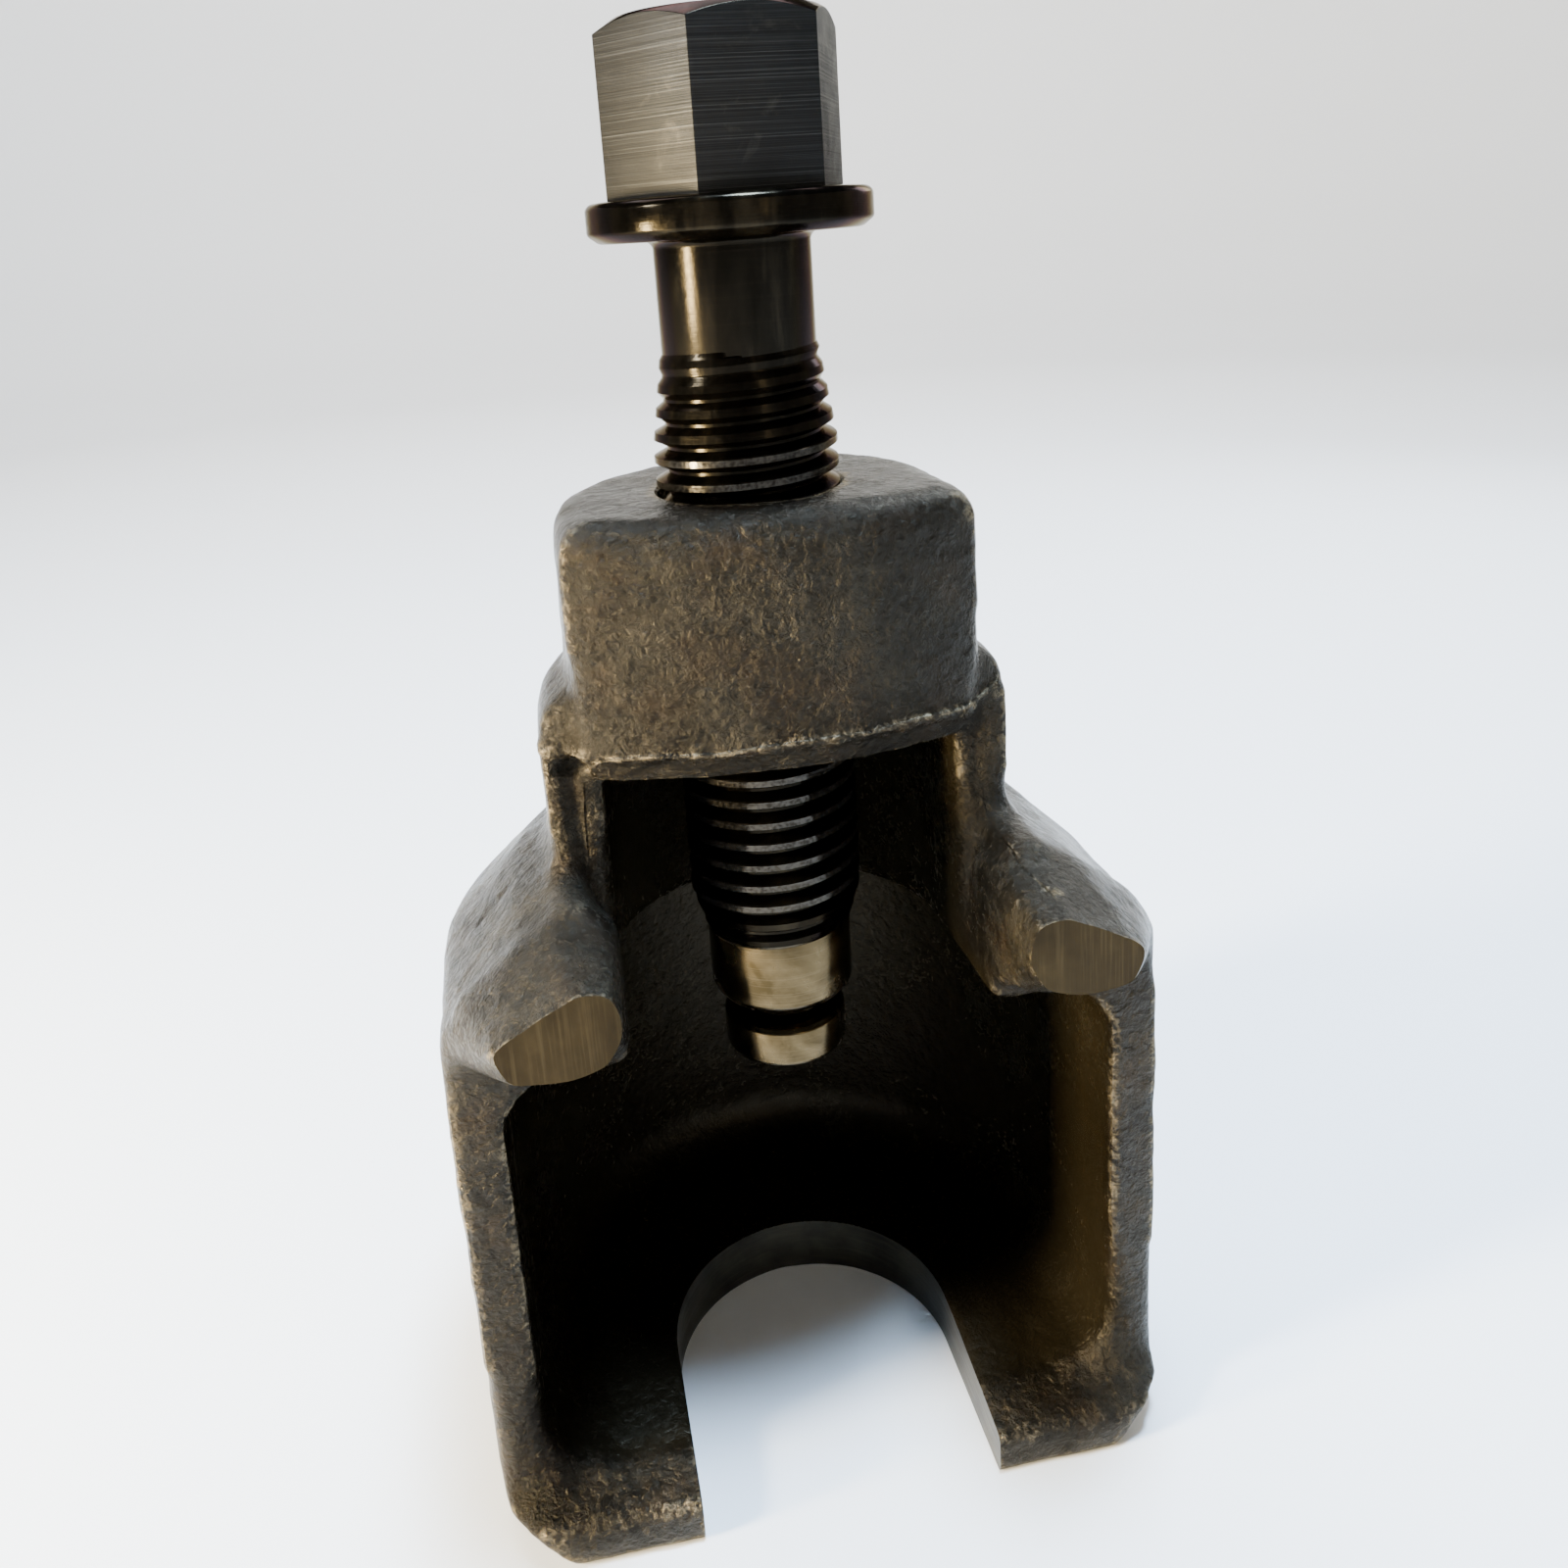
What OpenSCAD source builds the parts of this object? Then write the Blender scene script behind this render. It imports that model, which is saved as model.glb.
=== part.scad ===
// Ball joint separator: a forged bell housing with a fork at its foot, and a forcing
// screw in its boss. The fork straddles the ball joint's stud between the control arm
// and the knuckle, and the screw pushes the stud out through the fork.
// The origin is on the screw's axis, in the plane of the fork's underside.
// +Z runs up along the screw and -Y is the open front of the bell.

/* [Forcing screw] */
// Across flats of the hexagon head
hex_af = 22; // [19:1:24]
// Height of the hexagon above the flange
hex_height = 17.1; // [10:0.1:20]
// Diameter of the flange under the hexagon
flange_d = 29.6; // [26:0.2:34]
// Thickness of the flange
flange_t = 4; // [3:0.5:6]
// Diameter of the plain shank between flange and thread
shank_d = 16.4; // [14:0.2:17]
// Length of the plain shank
shank_length = 11.6; // [6:0.2:16]
// Outside diameter of the thread
thread_d = 19.8; // [18:0.1:20]
// Pitch of the thread
pitch = 2.5; // [2:0.25:3]
// Length of the thread
thread_length = 66; // [60:1:70]
// Diameter of the plain nose below the thread
nose_d = 16.7; // [14:0.1:17]
// Length of the plain nose
nose_length = 9; // [6:0.5:12]

/* [Thrust pad] */
// Diameter of the swivelling pad on the screw's nose
pad_d = 14.4; // [12:0.2:16]
// Height of the pad
pad_height = 5; // [4.6:0.2:7]
// Gap between the nose and the pad
pad_gap = 2.6; // [2:0.2:4]
// Height of the pad's face above the fork's underside
pad_z = 45.5; // [40:0.5:50]
// Diameter of the bearing ball between screw and pad
ball_d = 3; // [2:0.5:3]
// Wire diameter of the ring that holds the pad on
ring_wire_d = 1; // [0.8:0.1:1.2]

/* [Bell] */
// Half of the bell's outside width, and the radius of its back
bell_r = 39; // [37:0.5:42]
// Thickness of the bell's wall
bell_wall = 5.6; // [4:0.2:7]
// How far the side walls reach in front of the screw's axis
bell_front = 18.5; // [14:0.5:20]
// Height of the bell's ceiling above the fork's underside
ceiling_z = 57; // [52:0.5:58]
// Height at which the shoulder starts to curve in
shoulder_z = 61.6; // [60:0.2:64]

/* [Fork] */
// Width of the slot between the tines
fork_gap = 34.4; // [28:0.2:40]
// How far the centre of the slot's round end lies in front of the screw's axis
slot_front = 4.8; // [0:0.2:8]
// Thickness of the fork at its root
fork_t = 7.2; // [5:0.2:9]
// Thickness of the tines at their tips
tip_t = 5.3; // [3:0.1:5.6]
// How far the tines reach in front of the screw's axis
tine_front = 24.4; // [22:0.2:28]

/* [Neck and boss] */
// Half of the neck's outside width, and the radius of its back
neck_r = 25.4; // [24:0.2:27]
// Half of the neck's inside width, and the radius of its hollow
neck_hollow_r = 19.2; // [16:0.2:20]
// How far the neck's walls reach in front of the screw's axis
neck_front = 9.5; // [6:0.5:11]
// Half of the boss's width, and the radius of its back
boss_r = 21.6; // [20:0.2:23]
// How far the boss reaches in front of the screw's axis
boss_front = 16.4; // [14:0.2:18]
// Height of the boss's underside
boss_z = 86; // [84:0.5:88]
// Height of the boss's top face
boss_top = 113.5; // [110:0.5:116]
// Radial gap between the housing's bore and the screw's thread
bore_gap = 0.1; // [0.05:0.05:0.3]

/* [Shoulder lugs] */
// How far the ground faces of the lugs lie in front of the screw's axis
lug_front = 29.5; // [26:0.5:32]

/* [Hidden] */

eps = 0.01;
taper_y = 8;
bell_in = bell_r - bell_wall;
nose_z = pad_z + pad_height + pad_gap;
thread_z = nose_z + nose_length;
shank_z = thread_z + thread_length;
flange_z = shank_z + shank_length;
hex_z = flange_z + flange_t;
screw_top = hex_z + hex_height;
forged = "#4a463e";
blacked = "#2c2a28";
bright = "#8d8a84";
full = 96;

// Points on an arc in the plane of a profile, from angle a to angle b.
function arc(x, y, r, a, b, n = 8) =
    [for (i = [0:n]) [x + r * cos(a + (b - a) * i / n), y + r * sin(a + (b - a) * i / n)]];

// A section on both sides of the axis, drawn with its distance from the axis as X and
// run straight forwards.
module side_runs(front) {
    for (side = [0, 1])
        mirror([side, 0, 0])
            rotate([90, 0, 0])
                linear_extrude(front) children();
}

// A flat outline: round behind the axis, with straight sides and rounded front corners.
module horseshoe_outline(r, front, corner) {
    circle(r, $fn = 64);
    translate([-r, corner - front]) square([2 * r, front - corner]);
    translate([corner - r, -front]) square([2 * (r - corner), corner + 1]);
    for (side = [-1, 1])
        translate([side * (r - corner), corner - front]) circle(corner, $fn = 24);
}

// Housing: one forging.
module bell_section() {
    round_in = 6;
    round_out = 5;
    shoulder_x = bell_r - round_out * (1 - cos(45));
    shoulder_top = shoulder_z + round_out * sin(45);
    bend_x = 30;
    bend_z = shoulder_top + shoulder_x - bend_x;
    neck_root = bend_z + (bend_x - neck_r) / 2;
    foot_x = bell_in - round_in - 0.5;
    polygon(concat(
        [[foot_x, 0], [bell_r - 1, 0], [bell_r, 1]],
        arc(bell_r - round_out, shoulder_z, round_out, 0, 45),
        [[bend_x, bend_z], [neck_r + 1.5, neck_root - 0.4], [neck_r, neck_root + 1],
         [neck_r - 3, neck_root + 1],
         [neck_hollow_r, ceiling_z + 2], [neck_hollow_r + 0.6, ceiling_z + 0.6],
         [neck_hollow_r + 2, ceiling_z]],
        arc(bell_in - round_in, ceiling_z - round_in, round_in, 90, 0),
        arc(bell_in - round_in, fork_t + round_in, round_in, 0, -90),
        [[foot_x, fork_t]]));
}

// The walls behind the screw's axis, turned about it.
module back_walls() {
    rotate_extrude(angle = 180, $fn = full)
        union() {
            bell_section();
            neck_section();
        }
}

module bell_sides() {
    side_runs(bell_front) bell_section();
}

module neck_section() {
    ledge_z = 91.5;
    polygon([[neck_hollow_r, ceiling_z + 2], [neck_r, ceiling_z + 2], [neck_r, ledge_z],
             [neck_r - 0.8, ledge_z + 2], [neck_r - 2.4, ledge_z + 3.3], [boss_r - 1, ledge_z + 4.4],
             [neck_hollow_r, ledge_z + 4.4]]);
}

module fork_plate() {
    inside = bell_r - 2;
    difference() {
        linear_extrude(fork_t)
            union() {
                intersection() {
                    circle(inside, $fn = full);
                    translate([-inside, 0]) square([2 * inside, inside]);
                }
                translate([-inside, -bell_front]) square([2 * inside, bell_front]);
                translate([-bell_r, -tine_front]) square([2 * bell_r, tine_front - bell_front + 2]);
            }
        // The tines thin towards their tips.
        rise = (fork_t - tip_t) / (tine_front - taper_y);
        translate([-bell_r, -taper_y, fork_t])
            rotate([atan(rise), 0, 0])
                translate([0, -60, 0])
                    cube([2 * bell_r, 60, 10]);
    }
}

// Cuts each front corner of the fork on a slant that leans out as it rises.
module corner_cuts() {
    reach = 60;
    lean = 38;
    for (side = [0, 1])
        mirror([side, 0, 0])
            translate([bell_r, -11.5, 0])
                rotate([0, lean, -31])
                    translate([0, -reach / 2, -reach / 2])
                        cube(reach);
}

// The foot of each side wall runs out into its tine in a fillet.
module tine_fillet() {
    r = tine_front - bell_front - 0.8;
    for (side = [0, 1])
        mirror([side, 0, 0])
            translate([bell_in - 1.4, -bell_front, tip_t - 1])
                rotate([90, 0, 90])
                    linear_extrude(3.4)
                        polygon(concat([[1, 0], [1, r + 1]], arc(-r, r + 1, r, 0, -90), [[-r, 0]]));
}

// The boss leans back below its parting ridge, and its top edge is rounded.
module boss() {
    slices = [[boss_z, 1.8], [boss_z + 3.5, 0], [boss_top - 3, 0], [boss_top - 0.9, 0.9],
              [boss_top - eps, 3]];
    difference() {
        hull()
            for (slice = slices)
                translate([0, 0, slice[0]]) linear_extrude(eps) boss_outline(slice[1]);
        translate([0, 0, boss_z - 1])
            cylinder(h = boss_top - boss_z + 2, r = thread_d / 2 + bore_gap, $fn = full);
        translate([0, 0, boss_top - 1])
            cylinder(h = 1.2, r1 = thread_d / 2 + bore_gap, r2 = thread_d / 2 + 1.3, $fn = full);
    }
}

module boss_outline(inset) {
    intersection() {
        horseshoe_outline(boss_r - inset, boss_front - inset, 5);
        translate([0, 55 - boss_front + inset]) circle(55, $fn = full);
    }
}

// A lug runs forwards from each shoulder and ends in a ground face.
module lugs() {
    root = [[19.6, 60], [19.6, 71.6], [24, 73.2], [29.4, 72], [36.8, 64.8], [38.3, 61.4]];
    middle = [[19.6, 59.4], [19.6, 73], [21.4, 74.6], [26, 74.8], [30, 73],
              [36.4, 67.6], [38.5, 64], [38, 60.5], [34, 59]];
    face = [[31.7, 68.8], [27.9, 70.9], [23.6, 73], [20.9, 72.5], [19.9, 69.5],
            [22.1, 66], [25.5, 65], [30.2, 65.5]];
    for (side = [0, 1])
        mirror([side, 0, 0])
            hull() {
                translate([0, -11.5, 0]) rotate([90, 0, 0]) linear_extrude(0.5) polygon(root);
                translate([0, -17, 0]) rotate([90, 0, 0]) linear_extrude(1) polygon(middle);
                translate([0, 0.6 - lug_front, 0])
                    rotate([90, 0, 0]) linear_extrude(0.6) polygon(face);
            }
}

module housing() {
    color(forged)
        difference() {
            union() {
                back_walls();
                bell_sides();
                side_runs(neck_front) neck_section();
                fork_plate();
                tine_fillet();
                boss();
                lugs();
            }
            fork_slot();
            corner_cuts();
        }
}

module fork_slot() {
    translate([0, 0, -1])
        linear_extrude(fork_t + 2)
            union() {
                translate([0, -slot_front]) circle(fork_gap / 2, $fn = full);
                translate([-fork_gap / 2, -slot_front - 40]) square([fork_gap, 40]);
            }
}

// Forcing screw: hexagon, flange, shank, thread and nose, all one piece.
module hexagon_head() {
    corner_r = hex_af / 2 / cos(30);
    chamfer = 1.6;
    intersection() {
        translate([0, 0, hex_z]) rotate([0, 0, 7.7]) cylinder(h = hex_height, r = corner_r, $fn = 6);
        translate([0, 0, hex_z])
            rotate_extrude($fn = full)
                polygon([[0, 0], [corner_r + 0.1, 0], [corner_r + 0.1, hex_height - chamfer],
                         [corner_r - 2.6, hex_height], [0, hex_height]]);
    }
}

module screw_profile() {
    crest = thread_d / 2;
    depth = 1.3;
    turns = floor((thread_length - 4) / pitch);
    spigot_r = 5.2;
    stem_r = 3.6;
    tooth = [for (i = [0:turns - 1])
        for (p = [[crest - depth, 0.1], [crest, 0.42], [crest, 0.68], [crest - depth, 1]])
            [p[0], thread_z + 2 + (i + p[1]) * pitch]];
    polygon(concat(
        [[0, pad_z + 2.8], [stem_r - 0.4, pad_z + 2.8], [stem_r, pad_z + 3.2],
         [stem_r, pad_z + pad_height + 0.3], [spigot_r, pad_z + pad_height + 0.6],
         [spigot_r, nose_z], [nose_d / 2 - 0.9, nose_z], [nose_d / 2, nose_z + 1],
         [nose_d / 2, thread_z + 0.8], [crest - depth, thread_z + 2]],
        tooth,
        [[crest - depth, shank_z - 1.6], [shank_d / 2, shank_z], [shank_d / 2, flange_z],
         [flange_d / 2 - 1, flange_z], [flange_d / 2, flange_z + 1],
         [flange_d / 2, hex_z - 0.6], [flange_d / 2 - 0.6, hex_z], [0, hex_z]]));
}

module forcing_screw() {
    color(blacked)
        difference() {
            union() {
                rotate_extrude($fn = full) screw_profile();
                hexagon_head();
            }
            // Seat for the bearing ball, and the groove for the ring.
            translate([0, 0, ball_z()]) sphere(ball_d / 2 + 0.05, $fn = 48);
            rotate_extrude($fn = full)
                translate([ring_r(), ring_z()]) circle(ring_wire_d / 2 + 0.05, $fn = 32);
        }
}

function ball_z() = pad_z + 1 + ball_d / 2;
function ring_z() = pad_z + 3.9;
function ring_r() = 3.75;

// Thrust pad: a cup that swivels on the screw's nose and bears on the stud.
module thrust_pad() {
    socket_r = 3.75;
    r = pad_d / 2;
    color(bright)
        difference() {
            rotate_extrude($fn = full)
                polygon([[0, pad_z], [r - 1, pad_z], [r, pad_z + 1], [r, pad_z + pad_height - 0.4],
                         [r - 0.4, pad_z + pad_height], [0, pad_z + pad_height]]);
            translate([0, 0, pad_z + 2.6]) cylinder(h = pad_height, r = socket_r, $fn = full);
            translate([0, 0, ball_z()]) sphere(ball_d / 2 + 0.05, $fn = 48);
            rotate_extrude($fn = full)
                translate([ring_r(), ring_z()]) circle(ring_wire_d / 2 + 0.05, $fn = 32);
        }
}

// Bearing ball between the screw's nose and the pad.
module bearing_ball() {
    color(bright)
        translate([0, 0, ball_z()]) sphere(ball_d / 2, $fn = 48);
}

// Split wire ring, half in the screw's groove and half in the pad's.
module retaining_ring() {
    gap = 30;
    color(bright)
        rotate([0, 0, gap / 2])
            rotate_extrude(angle = 360 - gap, $fn = full)
                translate([ring_r(), ring_z()]) circle(ring_wire_d / 2, $fn = 32);
}

housing();
forcing_screw();
thrust_pad();
bearing_ball();
retaining_ring();
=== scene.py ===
"""Looks of the ball joint separator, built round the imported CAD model. Lengths are in metres."""
import math

import bpy
import numpy as np
from mathutils import Matrix, Vector
from mathutils.bvhtree import BVHTree


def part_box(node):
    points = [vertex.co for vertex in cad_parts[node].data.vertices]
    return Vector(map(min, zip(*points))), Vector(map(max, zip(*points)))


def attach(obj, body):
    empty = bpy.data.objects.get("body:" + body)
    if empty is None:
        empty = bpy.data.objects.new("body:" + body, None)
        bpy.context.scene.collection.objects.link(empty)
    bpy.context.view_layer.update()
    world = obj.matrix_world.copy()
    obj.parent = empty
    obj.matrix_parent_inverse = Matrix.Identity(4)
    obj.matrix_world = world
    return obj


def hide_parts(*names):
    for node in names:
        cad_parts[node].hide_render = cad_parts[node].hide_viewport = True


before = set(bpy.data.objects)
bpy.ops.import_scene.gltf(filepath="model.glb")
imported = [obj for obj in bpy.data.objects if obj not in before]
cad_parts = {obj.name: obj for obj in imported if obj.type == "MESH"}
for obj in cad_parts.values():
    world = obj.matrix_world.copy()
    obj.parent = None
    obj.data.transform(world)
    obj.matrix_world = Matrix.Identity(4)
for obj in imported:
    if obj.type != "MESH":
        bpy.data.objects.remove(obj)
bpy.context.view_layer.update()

MM = 0.001

# ---------------------------------------------------------------- places taken from the frame
HOUSING_LOW, HOUSING_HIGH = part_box("housing")
_, SCREW_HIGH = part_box("forcing_screw")
PAD_LOW, PAD_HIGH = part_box("thrust_pad")

BOSS_TOP = HOUSING_HIGH[2]
LUG_FACE_Y = HOUSING_LOW[1]
SCREW_TOP = SCREW_HIGH[2]
FLANGE_RADIUS = SCREW_HIGH[0]
PAD_FACE = PAD_LOW[2]
PAD_TOP = PAD_HIGH[2]
PAD_RADIUS = PAD_HIGH[0]

# Housing
BOSS_UNDERSIDE = BOSS_TOP - 27.5 * MM
PARTING_RIDGE = BOSS_UNDERSIDE + 3.5 * MM
BORE_RADIUS = 10.0 * MM
SLOT_RADIUS = 17.2 * MM
SLOT_CENTRE_Y = -4.8 * MM
TINE_FRONT = 24.4 * MM
FORK_THICKNESS = 7.2 * MM
TIP_THICKNESS = 5.3 * MM
FORGING_GRAIN = 0.7 * MM
LUG_SPARE = 1.6 * MM
LUG_MIDDLE = (27.0 * MM, 69.2 * MM)
LUG_SHRINK = 0.96
BURR_THICKNESS = 0.27 * MM
FOLD_WIDTH = 0.2 * MM

# Forcing screw
HEX_HEIGHT = 17.1 * MM
HEX_ACROSS_FLATS = 22.0 * MM
HEX_TURN = math.radians(7.7)
FLANGE_THICKNESS = 4.0 * MM
SHANK_RADIUS = 8.2 * MM
SHANK_LENGTH = 11.6 * MM
THREAD_LENGTH = 66.0 * MM
THREAD_RADIUS = 9.9 * MM
THREAD_DEPTH = 1.45 * MM
PITCH = 2.5 * MM
NOSE_RADIUS = 8.35 * MM
NOSE_LENGTH = 9.0 * MM
SPIGOT_RADIUS = 5.2 * MM
HEX_BASE = SCREW_TOP - HEX_HEIGHT
FLANGE_BASE = HEX_BASE - FLANGE_THICKNESS
THREAD_END = FLANGE_BASE - SHANK_LENGTH
THREAD_START = THREAD_END - THREAD_LENGTH
NOSE_START = THREAD_START - NOSE_LENGTH


# ---------------------------------------------------------------- camera
def aim_camera():
    """Puts the camera in front, to the left and above the boss, with its own small roll."""
    yaw, pitch, roll = 0.157, 0.263, 0.073
    ahead = Vector((math.sin(yaw) * math.cos(pitch), math.cos(yaw) * math.cos(pitch), -math.sin(pitch)))
    level_right = Vector((math.cos(yaw), -math.sin(yaw), 0))
    level_down = ahead.cross(level_right)
    right = level_right * math.cos(roll) + level_down * math.sin(roll)
    up = level_right * math.sin(roll) - level_down * math.cos(roll)
    camera = bpy.data.cameras.new("camera")
    camera.sensor_width = 36
    camera.lens = 36 * 1354.8 / 1600
    camera.shift_x = 0.0285
    camera.shift_y = -0.132
    camera.clip_start = 0.01
    holder = bpy.data.objects.new("camera", camera)
    bpy.context.scene.collection.objects.link(holder)
    turn = Matrix((right, up, -ahead)).transposed().to_4x4()
    holder.matrix_world = Matrix.Translation((-0.02383, -0.1395, 0.14129)) @ turn
    bpy.context.scene.camera = holder


aim_camera()


# ---------------------------------------------------------------- workshop helpers
def pick(piece):
    """Leaves object mode with only this piece selected and active."""
    if bpy.context.object and bpy.context.object.mode != "OBJECT":
        bpy.ops.object.mode_set(mode="OBJECT")
    bpy.ops.object.select_all(action="DESELECT")
    piece.select_set(True)
    bpy.context.view_layer.objects.active = piece


def begin():
    if bpy.context.object and bpy.context.object.mode != "OBJECT":
        bpy.ops.object.mode_set(mode="OBJECT")
    bpy.ops.object.select_all(action="DESELECT")


def named(name):
    piece = bpy.context.object
    piece.name = name
    piece.data.name = name
    return piece


def settle(piece):
    """Moves a piece's place into its mesh."""
    pick(piece)
    bpy.ops.object.transform_apply(location=True, rotation=True, scale=True)


def finish_modifier(piece, kind, **settings):
    pick(piece)
    modifier = piece.modifiers.new(kind.lower(), kind)
    for key, value in settings.items():
        setattr(modifier, key, value)
    bpy.ops.object.modifier_apply(modifier=modifier.name)


def weld(piece, reach=0.005 * MM):
    pick(piece)
    bpy.ops.object.mode_set(mode="EDIT")
    bpy.ops.mesh.select_all(action="SELECT")
    bpy.ops.mesh.remove_doubles(threshold=reach)
    bpy.ops.object.mode_set(mode="OBJECT")


def join(first, *others):
    pick(first)
    for other in others:
        other.select_set(True)
    bpy.ops.object.join()
    return first


def drop(piece):
    bpy.data.objects.remove(piece, do_unlink=True)


def block(name, low, high):
    """A cuboid between two corners."""
    begin()
    middle = [(a + b) / 2 for a, b in zip(low, high)]
    bpy.ops.mesh.primitive_cube_add(size=1, location=middle)
    piece = named(name)
    piece.scale = [b - a for a, b in zip(low, high)]
    settle(piece)
    return piece


def rod(name, radius, low, high, sides=128, centre=(0, 0)):
    """A cylinder standing between two heights."""
    begin()
    bpy.ops.mesh.primitive_cylinder_add(
        vertices=sides, radius=radius, depth=high - low, location=(*centre, (low + high) / 2))
    piece = named(name)
    settle(piece)
    return piece


def turned(name, outline, sides=128):
    """A turned part: a disc drawn up along its outline of (radius, height) points."""
    begin()
    radius, height = outline[0]
    bpy.ops.mesh.primitive_circle_add(
        vertices=sides, radius=radius, location=(0, 0, height), fill_type="NGON")
    piece = named(name)
    settle(piece)
    bpy.ops.object.mode_set(mode="EDIT")
    bpy.ops.mesh.select_all(action="SELECT")
    for next_radius, next_height in outline[1:]:
        bpy.ops.mesh.extrude_region_move(
            TRANSFORM_OT_translate={"value": (0, 0, next_height - height)})
        scale = next_radius / radius
        bpy.ops.transform.resize(value=(scale, scale, 1), center_override=(0, 0, next_height))
        radius, height = next_radius, next_height
    bpy.ops.mesh.select_all(action="SELECT")
    bpy.ops.mesh.normals_make_consistent(inside=False)
    bpy.ops.object.mode_set(mode="OBJECT")
    return piece


def combine(piece, other, operation):
    """Cuts, joins or intersects a piece with another, which is then gone."""
    finish_modifier(piece, "BOOLEAN", object=other, operation=operation, solver="EXACT")
    drop(other)


def points_of(piece):
    places = np.empty(len(piece.data.vertices) * 3)
    piece.data.vertices.foreach_get("co", places)
    return places.reshape(-1, 3)


def move_points(piece, places):
    piece.data.vertices.foreach_set("co", places.ravel())
    piece.data.update()


def directions_of(piece):
    out = np.empty(len(piece.data.vertices) * 3)
    piece.data.vertex_normals.foreach_get("vector", out)
    return out.reshape(-1, 3)


def ramp(values, start, end):
    """0 before start, 1 after end, and smooth between."""
    t = np.clip((values - start) / (end - start), 0, 1)
    return t * t * (3 - 2 * t)


# ---------------------------------------------------------------- housing
def rough_housing():
    """The CAD housing as one loose forging, with its slot and bore filled and its lugs long."""
    begin()
    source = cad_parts["housing"]
    blank = bpy.data.objects.new("forged_housing", source.data.copy())
    bpy.context.scene.collection.objects.link(blank)
    blank.data.materials.clear()
    pick(blank)
    bpy.ops.object.mode_set(mode="EDIT")
    bpy.ops.mesh.select_all(action="SELECT")
    bpy.ops.mesh.remove_doubles(threshold=0.002 * MM)
    bpy.ops.object.mode_set(mode="OBJECT")
    places = points_of(blank)
    on_face = places[:, 1] < LUG_FACE_Y + 0.2 * MM
    places[on_face, 1] -= LUG_SPARE
    across, height = LUG_MIDDLE
    for side in (-1, 1):
        here = on_face & (places[:, 0] * side > 0)
        places[here, 0] = side * (across + LUG_SHRINK * (places[here, 0] * side - across)) - 0.5 * MM
        places[here, 2] = height + LUG_SHRINK * (places[here, 2] - height)
    move_points(blank, places)
    web = block("slot_web", (-SLOT_RADIUS - MM, -TINE_FRONT, 0),
                (SLOT_RADIUS + MM, SLOT_CENTRE_Y + SLOT_RADIUS + MM, FORK_THICKNESS))
    places = points_of(web)
    front_top = (places[:, 1] < -20 * MM) & (places[:, 2] > MM)
    places[front_top, 2] = TIP_THICKNESS
    move_points(web, places)
    plug = rod("bore_plug", BORE_RADIUS + MM, BOSS_UNDERSIDE, BOSS_TOP)
    return join(blank, web, plug)


def weight_points(piece, name, weights):
    """Writes a vertex group with the weights rounded to eighths."""
    group = piece.vertex_groups.new(name=name)
    steps = np.round(weights * 8).astype(int)
    for step in range(1, 9):
        group.add(np.nonzero(steps == step)[0].tolist(), step / 8, "REPLACE")


def near_box(places, low, high, reach):
    """1 inside a box, falling to 0 at a reach outside it."""
    outside = np.maximum(np.maximum(np.array(low) - places, places - np.array(high)), 0)
    return 1 - ramp(np.linalg.norm(outside, axis=1), 0, reach)


def soften(piece):
    """Rounds the forging's edges, and its fillets most."""
    finish_modifier(piece, "SMOOTH", factor=0.5, iterations=4)
    places = points_of(piece)
    across = np.abs(places[:, 0])
    mirrored = np.column_stack([across, places[:, 1], places[:, 2]])
    neck_root = near_box(mirrored, (19 * MM, -14 * MM, 70 * MM), (28 * MM, 30 * MM, 78 * MM), 3 * MM)
    lug_root = near_box(mirrored, (18 * MM, -22 * MM, 58 * MM), (40 * MM, -10 * MM, 76 * MM), 3 * MM)
    tine_root = near_box(mirrored, (24 * MM, -25 * MM, 4 * MM), (40 * MM, -12 * MM, 20 * MM), 3 * MM)
    ledge = near_box(mirrored, (18 * MM, -12 * MM, 90 * MM), (28 * MM, 8 * MM, 99 * MM), 2 * MM)
    weight_points(piece, "fillets", np.maximum.reduce([neck_root, 0.8 * lug_root, tine_root, ledge]))
    finish_modifier(piece, "SMOOTH", factor=0.5, iterations=30, vertex_group="fillets")
    piece.vertex_groups.clear()


def inside_share(places):
    """1 at points of the bell's chamber and the neck's hollow."""
    reach = np.hypot(places[:, 0], np.maximum(places[:, 1], 0))
    height = places[:, 2]
    in_bell = (reach < 35.5 * MM) & (height > 5 * MM) & (height < 60 * MM) & (places[:, 1] > -17.5 * MM)
    in_neck = (reach < 20.5 * MM) & (height >= 55 * MM) & (height < BOSS_UNDERSIDE + 2 * MM)
    return (in_bell | (in_neck & (places[:, 1] > -9 * MM))).astype(float)


def lumps(piece, size, height):
    """Uneven hammered swelling of the surface, of one size."""
    weight_points(piece, "hammered", 1 - 0.75 * inside_share(points_of(piece)))
    clouds = bpy.data.textures.new("forging_scale", "CLOUDS")
    clouds.noise_scale = size
    clouds.noise_depth = 2
    finish_modifier(piece, "DISPLACE", texture=clouds, texture_coords="LOCAL", strength=height,
                    mid_level=0.5, vertex_group="hammered")
    piece.vertex_groups.clear()


def press_line(places, outward, path, width, height):
    """Raises or sinks the surface along a path, by a height at its middle."""
    nearest = distance_to_line(places, [np.array(point) * MM for point in path])
    places += outward * (height * (1 - ramp(nearest, 0, width)))[:, None]


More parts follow.
